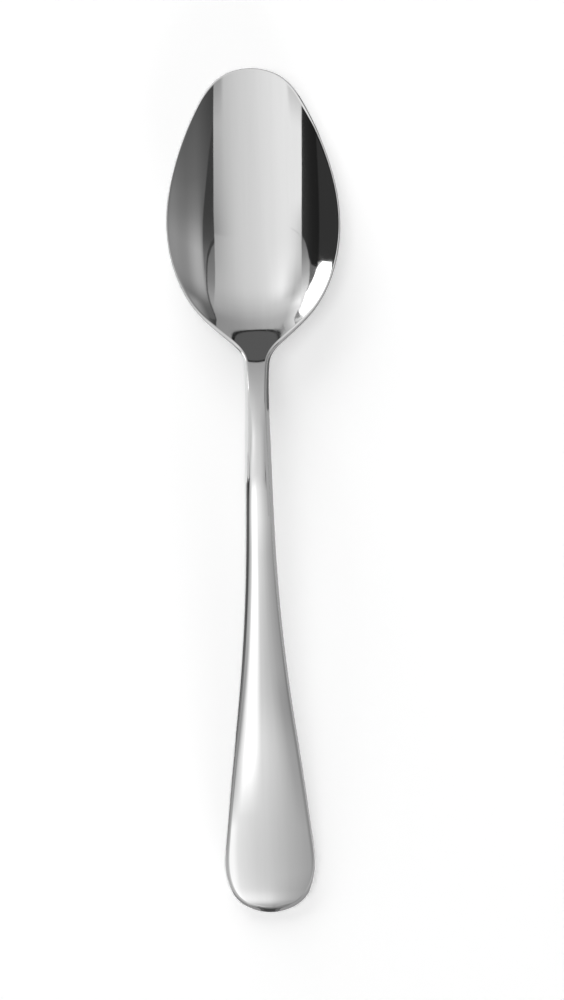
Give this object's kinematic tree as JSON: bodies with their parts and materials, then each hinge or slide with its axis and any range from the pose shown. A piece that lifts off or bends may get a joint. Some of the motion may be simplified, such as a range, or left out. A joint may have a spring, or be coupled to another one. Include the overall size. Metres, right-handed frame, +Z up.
{
  "type": "tablespoon",
  "caption": "One-piece polished steel tablespoon: egg-shaped hollow bowl, slim crowned neck and arched handle that widens to a rounded end. For eating and serving.",
  "frame": {"origin": "on the table that the spoon lies on, under the middle of its length and width", "axes": "+Y along the spoon towards the tip of the bowl, +X across it, +Z up out of the hollow of the bowl"},
  "size_m": [0.0422, 0.205, 0.0253],
  "materials": {
    "steel": "polished"
  },
  "bodies": {
    "root": {"spoon": "steel"}
  },
  "joints": []
}
